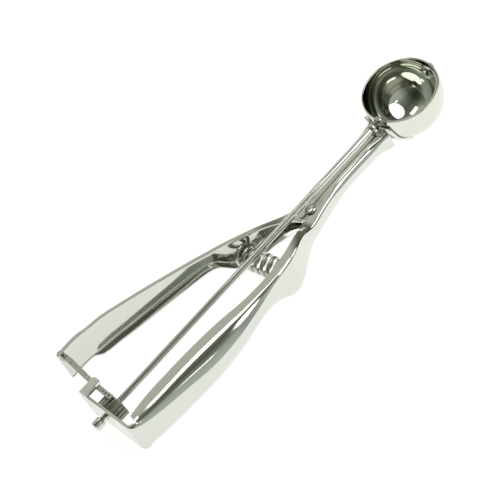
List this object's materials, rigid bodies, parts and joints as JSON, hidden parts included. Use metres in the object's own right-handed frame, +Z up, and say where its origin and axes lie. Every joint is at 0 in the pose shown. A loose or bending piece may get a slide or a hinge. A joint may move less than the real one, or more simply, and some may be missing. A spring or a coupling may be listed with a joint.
{
  "type": "squeeze-handle portion scoop",
  "caption": "Hand scoop with a round bowl and two sprung steel handles; squeezing them drives a rack and pinion that sweeps a scraper blade around the bowl.",
  "frame": {"origin": "bottom centre of the whole scoop as it lies on a table", "axes": "+Y from the handle ends towards the bowl, +X towards the fixed handle, +Z up, the way the bowl opens; the drive shaft runs 2.65 degrees off +Y because the bowl is deeper than the handles"},
  "size_m": [0.0648, 0.2112, 0.0232],
  "materials": {
    "bowl_polished": "mirror polished stainless steel",
    "handle_polished": "bright polished pressed stainless sheet",
    "blade_spring_steel": "polished spring steel strip",
    "shaft_polished": "bright drawn stainless rod",
    "gear_steel": "satin, as stamped and cut",
    "spring_wire": "drawn spring wire",
    "rivet_steel": "bright turned steel"
  },
  "bodies": {
    "frame": {"bowl": "bowl_polished", "bowl_front_eyelet": "rivet_steel", "shaft_bushing": "rivet_steel", "thrust_washer": "gear_steel", "fixed_handle": "handle_polished", "pivot_rivet": "rivet_steel", "pivot_spacer": "gear_steel", "return_spring": "spring_wire"},
    "squeeze": {"squeeze_handle": "handle_polished", "gear_rack": "gear_steel", "rack_stud": "rivet_steel", "rack_nut": "gear_steel"},
    "scraper": {"drive_shaft": "shaft_polished", "pinion_gear": "gear_steel", "shaft_end_cap": "shaft_polished", "scraper_blade": "blade_spring_steel", "blade_front_pin": "rivet_steel"}
  },
  "joints": [
    {"name": "squeeze_pivot", "type": "hinge", "parent": "frame", "child": "squeeze", "pos_m": [0.0075, 0.02307, 0.00825], "axis": [0, -0.0463, 0.9989], "range_deg": [0, 7.5], "stiffness_Nm_per_rad": 1.3, "springref_deg": -8.59, "deforming": ["return_spring"]},
    {"name": "scraper_turn", "type": "hinge", "parent": "frame", "child": "scraper", "pos_m": [0.005, 0.08649, 0.01779], "axis": [0, 0.9989, 0.0463], "range_deg": [0, 156.5]}
  ],
  "couplings": [
    {"joint": "scraper_turn", "follows": "squeeze_pivot", "ratio": 20.86}
  ]
}
